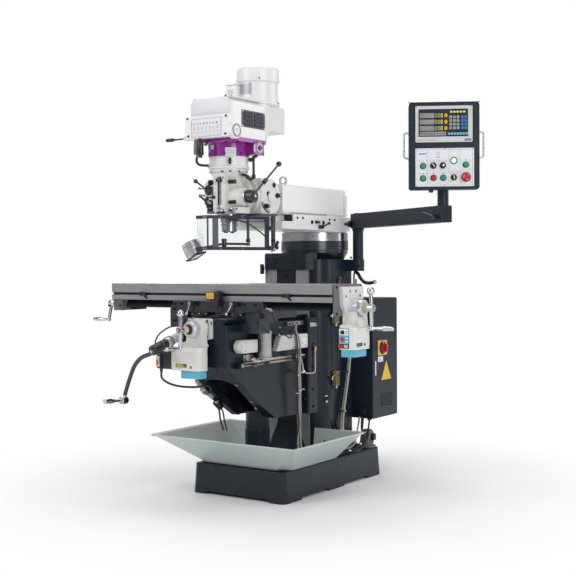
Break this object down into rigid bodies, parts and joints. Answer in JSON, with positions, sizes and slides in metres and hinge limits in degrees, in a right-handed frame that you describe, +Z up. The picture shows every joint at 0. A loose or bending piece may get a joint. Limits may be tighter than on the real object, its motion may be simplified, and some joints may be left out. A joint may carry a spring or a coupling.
{
  "type": "turret knee milling machine",
  "caption": "Floor-standing turret knee milling machine with swivelling ram and head, sliding table, coolant tray, control pendant and electrical cabinet.",
  "frame": {"origin": "on the floor under the middle of the base", "axes": "+X to the machine's right along the table, -Y towards the operator, +Z up"},
  "size_m": [2.1239, 1.6756, 2.185],
  "materials": {
    "dark_casting": "textured satin machine enamel",
    "tray_enamel": "satin enamel on sheet steel",
    "white_enamel": "satin machine enamel",
    "purple_enamel": "gloss machine enamel",
    "ground_steel": "ground and scraped",
    "grey_casting": "satin machine enamel",
    "chrome_handles": "polished",
    "black_handles": "black oxide and black plastic",
    "sheet_dark": "powder coat on sheet steel",
    "pendant_paint": "powder coat on sheet steel",
    "readout_plastic": "moulded case",
    "guard_black": "satin black",
    "clear_shield": "clear polycarbonate",
    "lamp_alloy": "turned fins",
    "belt_rubber": "moulded",
    "red_plastic": "gloss",
    "green_plastic": "gloss",
    "black_plastic": "matte"
  },
  "bodies": {
    "root": {"base_casting": "dark_casting", "coolant_tray": "tray_enamel", "column_casting": "dark_casting", "screw_post": "dark_casting", "turret_ring": "ground_steel", "electrical_cabinet": "sheet_dark", "pendant_pole": "pendant_paint"},
    "cabinet_door": {"cabinet_door": "sheet_dark"},
    "main_switch": {"main_switch_knob": "red_plastic"},
    "knee": {"knee_casting": "dark_casting", "y_power_feed": "white_enamel"},
    "elevating_screw": {"elevating_screw": "ground_steel"},
    "knee_crank": {"knee_crank": "black_handles"},
    "cross_screw": {"cross_screw": "ground_steel", "cross_crank": "chrome_handles"},
    "saddle": {"saddle_casting": "dark_casting"},
    "table_lock_left": {"table_lock_left": "chrome_handles"},
    "table_lock_right": {"table_lock_right": "chrome_handles"},
    "table": {"table": "ground_steel", "table_end_brackets": "grey_casting", "x_power_feed": "white_enamel"},
    "table_screw": {"table_screw": "ground_steel", "table_cranks": "chrome_handles"},
    "turret": {"turret_slide": "white_enamel"},
    "ram_lock": {"ram_lock_lever": "black_handles"},
    "ram": {"ram": "white_enamel"},
    "knuckle": {"ram_adapter": "white_enamel"},
    "head": {"head_casting": "white_enamel", "brake_housing": "white_enamel", "gear_housing": "purple_enamel", "belt_housing": "white_enamel", "motor": "white_enamel", "drive_belt": "belt_rubber", "accessory_bracket": "guard_black"},
    "motor_rotor": {"motor_shaft_pulley": "ground_steel"},
    "spindle_pulley": {"spindle_pulley": "ground_steel"},
    "quill": {"quill": "ground_steel"},
    "spindle": {"spindle": "ground_steel"},
    "quill_feed": {"quill_feed_lever": "black_handles"},
    "feed_engage": {"feed_engage_lever": "black_handles"},
    "quill_lock": {"quill_lock_lever": "black_handles"},
    "speed_lever": {"speed_lever": "black_handles"},
    "range_lever": {"range_lever": "black_handles"},
    "guard": {"guard_frame": "guard_black", "guard_shield": "clear_shield"},
    "lamp_arm": {"lamp_arm": "guard_black"},
    "lamp": {"lamp_head": "lamp_alloy"},
    "pendant_arm": {"pendant_arm": "pendant_paint"},
    "pendant_clamp": {"pendant_clamp_lever": "black_handles"},
    "pendant": {"pendant_case": "pendant_paint", "digital_readout": "readout_plastic"},
    "start_button": {"start_button": "green_plastic"},
    "coolant_button": {"coolant_button": "green_plastic"},
    "stop_button": {"stop_button": "red_plastic"},
    "feed_button": {"feed_button": "green_plastic"},
    "reset_button": {"reset_button": "green_plastic"},
    "direction_selector": {"direction_selector": "black_plastic"},
    "speed_selector": {"speed_selector": "black_plastic"},
    "key_switch": {"key_switch": "black_plastic"},
    "emergency_stop": {"emergency_stop": "red_plastic"}
  },
  "joints": [
    {"name": "cabinet_door_hinge", "type": "hinge", "parent": "root", "child": "cabinet_door", "pos_m": [-0.3, 0.653, 0.65], "axis": [0, 0, 1], "range_deg": [0, 110]},
    {"name": "main_switch_turn", "type": "hinge", "parent": "root", "child": "main_switch", "pos_m": [0.3, 0.478, 0.711], "axis": [1, 0, 0], "range_deg": [0, 90]},
    {"name": "knee_crank_turn", "type": "hinge", "parent": "knee", "child": "knee_crank", "pos_m": [-0.1386, -0.93, 0.7792], "axis": [0.0943, 0.9426, 0.3204], "range_deg": [-50, 130]},
    {"name": "knee_lift", "type": "slide", "parent": "root", "child": "knee", "axis": [0, 0, 1], "range_m": [-0.21, 0.08]},
    {"name": "elevating_screw_turn", "type": "hinge", "parent": "knee", "child": "elevating_screw", "pos_m": [0, -0.303, 0.4], "axis": [0, 0, 1], "range_deg": [-30240, 11520]},
    {"name": "cross_crank_turn", "type": "hinge", "parent": "knee", "child": "cross_screw", "pos_m": [0, -0.83, 0.872], "axis": [0, 1, 0], "range_deg": [-6480, 15120]},
    {"name": "saddle_cross", "type": "slide", "parent": "knee", "child": "saddle", "axis": [0, 1, 0], "range_m": [-0.09, 0.21]},
    {"name": "table_lock_left_turn", "type": "hinge", "parent": "saddle", "child": "table_lock_left", "pos_m": [-0.146, -0.65, 0.988], "axis": [0, 1, 0], "range_deg": [-40, 40]},
    {"name": "table_lock_right_turn", "type": "hinge", "parent": "saddle", "child": "table_lock_right", "pos_m": [0.115, -0.65, 0.988], "axis": [0, 1, 0], "range_deg": [-40, 40]},
    {"name": "table_crank_turn", "type": "hinge", "parent": "table", "child": "table_screw", "pos_m": [0, -0.502, 0.976], "axis": [1, 0, 0], "range_deg": [-24480, 24480]},
    {"name": "table_travel", "type": "slide", "parent": "saddle", "child": "table", "axis": [1, 0, 0], "range_m": [-0.34, 0.34]},
    {"name": "turret_swivel", "type": "hinge", "parent": "root", "child": "turret", "pos_m": [0, 0.25, 1.35], "axis": [0, 0, 1], "range_deg": [-30, 30]},
    {"name": "ram_lock_turn", "type": "hinge", "parent": "turret", "child": "ram_lock", "pos_m": [0.18, 0.04, 1.378], "axis": [1, 0, 0], "range_deg": [-60, 30]},
    {"name": "ram_travel", "type": "slide", "parent": "turret", "child": "ram", "axis": [0, 1, 0], "range_m": [-0.3, 0.03]},
    {"name": "head_nod", "type": "hinge", "parent": "ram", "child": "knuckle", "pos_m": [0, -0.345, 1.52], "axis": [-1, 0, 0], "range_deg": [-15, 20]},
    {"name": "head_tilt", "type": "hinge", "parent": "knuckle", "child": "head", "pos_m": [0, -0.462, 1.52], "axis": [0, 1, 0], "range_deg": [-45, 45]},
    {"name": "motor_turn", "type": "hinge", "parent": "head", "child": "motor_rotor", "pos_m": [0, -0.28, 1.92], "axis": [0, 0, 1], "continuous": true},
    {"name": "spindle_pulley_turn", "type": "hinge", "parent": "head", "child": "spindle_pulley", "pos_m": [0, -0.53, 1.92], "axis": [0, 0, 1], "continuous": true},
    {"name": "quill_feed_turn", "type": "hinge", "parent": "head", "child": "quill_feed", "pos_m": [0.12, -0.545, 1.513], "axis": [1, 0, 0], "range_deg": [0, 200]},
    {"name": "quill_travel", "type": "slide", "parent": "head", "child": "quill", "axis": [0, 0, -1], "range_m": [0, 0.127]},
    {"name": "spindle_turn", "type": "hinge", "parent": "quill", "child": "spindle", "pos_m": [0, -0.53, 1.4], "axis": [0, 0, 1], "continuous": true},
    {"name": "feed_engage_turn", "type": "hinge", "parent": "head", "child": "feed_engage", "pos_m": [-0.126, -0.548, 1.56], "axis": [1, 0, 0], "range_deg": [-30, 20]},
    {"name": "quill_lock_turn", "type": "hinge", "parent": "head", "child": "quill_lock", "pos_m": [-0.11, -0.56, 1.49], "axis": [1, 0, 0], "range_deg": [-20, 45]},
    {"name": "speed_lever_swing", "type": "hinge", "parent": "head", "child": "speed_lever", "pos_m": [-0.175, -0.64, 1.808], "axis": [0, 1, 0], "range_deg": [-15, 15]},
    {"name": "range_lever_turn", "type": "hinge", "parent": "head", "child": "range_lever", "pos_m": [0.13, -0.455, 1.757], "axis": [1, 0, 0], "range_deg": [-45, 45]},
    {"name": "guard_swing", "type": "hinge", "parent": "head", "child": "guard", "pos_m": [0.165, -0.384, 1.33], "axis": [0, 0, -1], "range_deg": [-100, 0]},
    {"name": "lamp_arm_swing", "type": "hinge", "parent": "head", "child": "lamp_arm", "pos_m": [0.084, -0.486, 1.29], "axis": [0, 0, 1], "range_deg": [-30, 0]},
    {"name": "lamp_swivel", "type": "hinge", "parent": "lamp_arm", "child": "lamp", "pos_m": [-0.094, -0.7, 1.252], "axis": [-0.4601, -0.1227, 0.8793], "range_deg": [-60, 60]},
    {"name": "pendant_arm_swing", "type": "hinge", "parent": "root", "child": "pendant_arm", "pos_m": [0.24, 0.32, 1.415], "axis": [0, 0, 1], "range_deg": [-20, 70]},
    {"name": "pendant_clamp_turn", "type": "hinge", "parent": "pendant_arm", "child": "pendant_clamp", "pos_m": [0.95383, -0.14556, 1.402], "axis": [-0.5154, -0.857, 0], "range_deg": [-30, 60]},
    {"name": "pendant_swivel", "type": "hinge", "parent": "pendant_arm", "child": "pendant", "pos_m": [0.975, -0.122, 1.5], "axis": [0, 0, 1], "range_deg": [-45, 60]},
    {"name": "start_button_press", "type": "slide", "parent": "pendant", "child": "start_button", "axis": [-0.5, 0.866, 0], "range_m": [0, 0.004]},
    {"name": "coolant_button_press", "type": "slide", "parent": "pendant", "child": "coolant_button", "axis": [-0.5, 0.866, 0], "range_m": [0, 0.004]},
    {"name": "stop_button_press", "type": "slide", "parent": "pendant", "child": "stop_button", "axis": [-0.5, 0.866, 0], "range_m": [0, 0.004]},
    {"name": "feed_button_press", "type": "slide", "parent": "pendant", "child": "feed_button", "axis": [-0.5, 0.866, 0], "range_m": [0, 0.004]},
    {"name": "reset_button_press", "type": "slide", "parent": "pendant", "child": "reset_button", "axis": [-0.5, 0.866, 0], "range_m": [0, 0.004]},
    {"name": "emergency_stop_press", "type": "slide", "parent": "pendant", "child": "emergency_stop", "axis": [-0.5, 0.866, 0], "range_m": [0, 0.005]},
    {"name": "direction_selector_turn", "type": "hinge", "parent": "pendant", "child": "direction_selector", "pos_m": [0.98144, -0.23375, 1.638], "axis": [-0.5, 0.866, 0], "range_deg": [-45, 45]},
    {"name": "speed_selector_turn", "type": "hinge", "parent": "pendant", "child": "speed_selector", "pos_m": [1.06371, -0.18625, 1.582], "axis": [-0.5, 0.866, 0], "range_deg": [-45, 45]},
    {"name": "key_switch_turn", "type": "hinge", "parent": "pendant", "child": "key_switch", "pos_m": [1.01972, -0.21165, 1.6386], "axis": [-0.5, 0.866, 0], "range_deg": [-45, 45]}
  ],
  "couplings": [
    {"joint": "elevating_screw_turn", "follows": "knee_lift", "rad_per_m": 2513.3},
    {"joint": "cross_crank_turn", "follows": "saddle_cross", "rad_per_m": 1256.6},
    {"joint": "table_crank_turn", "follows": "table_travel", "rad_per_m": 1256.6},
    {"joint": "spindle_pulley_turn", "follows": "motor_turn", "ratio": 0.5},
    {"joint": "spindle_turn", "follows": "motor_turn", "ratio": 0.5},
    {"joint": "quill_travel", "follows": "quill_feed_turn", "m_per_rad": 0.036383}
  ]
}
